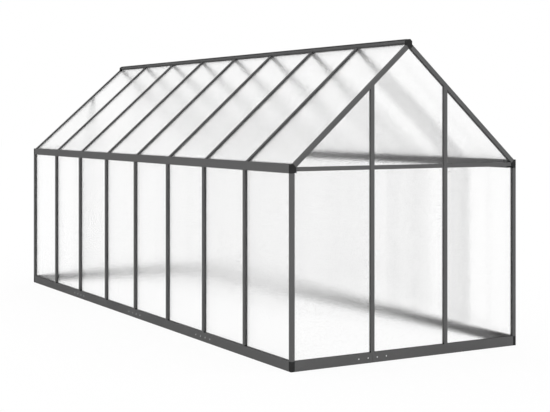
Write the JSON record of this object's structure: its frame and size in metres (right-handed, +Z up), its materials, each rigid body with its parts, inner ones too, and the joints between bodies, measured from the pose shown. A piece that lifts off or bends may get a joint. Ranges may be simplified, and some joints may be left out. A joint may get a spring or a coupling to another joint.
{
  "type": "plastic greenhouse",
  "caption": "Walk-in garden greenhouse with a steep ridge roof, grey aluminium frame on a low base beam, black corner connectors and clear twin-wall plastic sheets.",
  "frame": {"origin": "middle of the floor area, in the plane of the underside of the base beam", "axes": "+X across the gables towards the right wall, +Y along the length away from the front gable, +Z up"},
  "size_m": [1.69, 4.42, 1.939],
  "materials": {
    "frame": "matt grey powder coat",
    "connector": "black moulded plastic",
    "sheet": "clear twin-wall polycarbonate with upright ribs"
  },
  "bodies": {
    "root": {"base_left_1": "frame", "base_left_2": "frame", "base_left_3": "frame", "base_left_4": "frame", "base_right_1": "frame", "base_right_2": "frame", "base_right_3": "frame", "base_right_4": "frame", "base_front_1": "frame", "base_front_2": "frame", "base_back_1": "frame", "base_back_2": "frame", "base_corners": "connector", "corner_post_front_left": "frame", "corner_post_front_right": "frame", "corner_post_back_left": "frame", "corner_post_back_right": "frame", "side_posts_left": "frame", "side_posts_right": "frame", "gable_posts_front": "frame", "gable_posts_back": "frame", "eaves_rail_left": "frame", "eaves_rail_right": "frame", "eaves_corners": "connector", "gable_tie_front": "frame", "gable_tie_back": "frame", "gable_rafter_front_left": "frame", "gable_rafter_front_right": "frame", "gable_rafter_back_left": "frame", "gable_rafter_back_right": "frame", "rafters_left": "frame", "rafters_right": "frame", "ridge_beam": "frame", "ridge_caps": "connector", "wall_sheets_left": "sheet", "wall_sheets_right": "sheet", "roof_sheets_left": "sheet", "roof_sheets_right": "sheet", "gable_sheets_front_lower": "sheet", "gable_sheets_back_lower": "sheet", "gable_sheets_front_upper": "sheet", "gable_sheets_back_upper": "sheet"}
  },
  "joints": []
}
